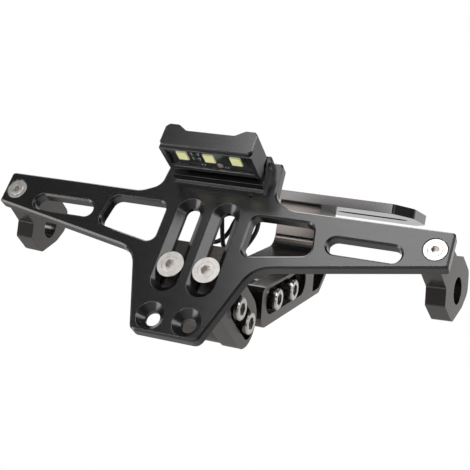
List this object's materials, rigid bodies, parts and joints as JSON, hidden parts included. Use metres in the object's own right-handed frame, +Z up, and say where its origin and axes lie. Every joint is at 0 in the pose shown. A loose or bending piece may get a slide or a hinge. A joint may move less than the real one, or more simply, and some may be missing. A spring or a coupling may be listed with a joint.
{
  "type": "tail tidy",
  "caption": "Tail tidy: a number plate frame on an adjustable two-part arm under a slotted mounting plate, with turn signal brackets and a folding plate lamp.",
  "frame": {"origin": "middle of the mounting plate's top face, which bolts up under the bike's tail", "axes": "+X to the right seen from behind the bike, +Y forwards to the bike, +Z up"},
  "size_m": [0.2102, 0.181, 0.0897],
  "materials": {
    "black_aluminium": "black anodised machined aluminium, satin",
    "stainless": "turned stainless steel screws",
    "lens": "clear window",
    "board": "dark circuit board",
    "diode": "pale yellow phosphor",
    "chip": "grey resistor bodies with tinned ends",
    "rubber": "matt rubber",
    "sheath": "black cable sheath",
    "cores": "thin insulated wires"
  },
  "bodies": {
    "mount": {"mounting_plate": "black_aluminium", "riser_block": "black_aluminium", "hanger": "black_aluminium", "hanger_bolts": "stainless", "extension_bolts": "stainless"},
    "arm": {"arm": "black_aluminium", "tilt_bolts": "stainless"},
    "carrier": {"plate_carrier": "black_aluminium", "plate_bolts": "stainless"},
    "frame": {"number_plate_frame": "black_aluminium", "signal_bracket_left": "black_aluminium", "signal_bracket_right": "black_aluminium", "signal_screws": "stainless", "lamp_base": "black_aluminium", "lamp_base_screws": "stainless", "lead_grommet": "rubber", "lead": "sheath", "lead_cores": "cores"},
    "lamp": {"lamp_housing": "black_aluminium", "lamp_cover": "black_aluminium", "lamp_cover_screws": "stainless", "lamp_hinge_screws": "stainless", "lamp_lens": "lens", "lamp_board": "board", "lamp_diodes": "diode", "lamp_chips": "chip"}
  },
  "joints": [
    {"name": "arm_slide", "type": "slide", "parent": "mount", "child": "arm", "axis": [0, -0.9659, -0.2588], "range_m": [-0.003, 0.015]},
    {"name": "carrier_tilt", "type": "hinge", "parent": "arm", "child": "carrier", "pos_m": [0, -0.115, -0.067], "axis": [1, 0, 0], "range_deg": [-3, 3]},
    {"name": "frame_slide", "type": "slide", "parent": "carrier", "child": "frame", "axis": [0, 0.4226, 0.9063], "range_m": [-0.01, 0.006]},
    {"name": "lamp_tilt", "type": "hinge", "parent": "frame", "child": "lamp", "pos_m": [0, -0.12168, 0.00055], "axis": [1, 0, 0], "range_deg": [-30, 10]}
  ]
}
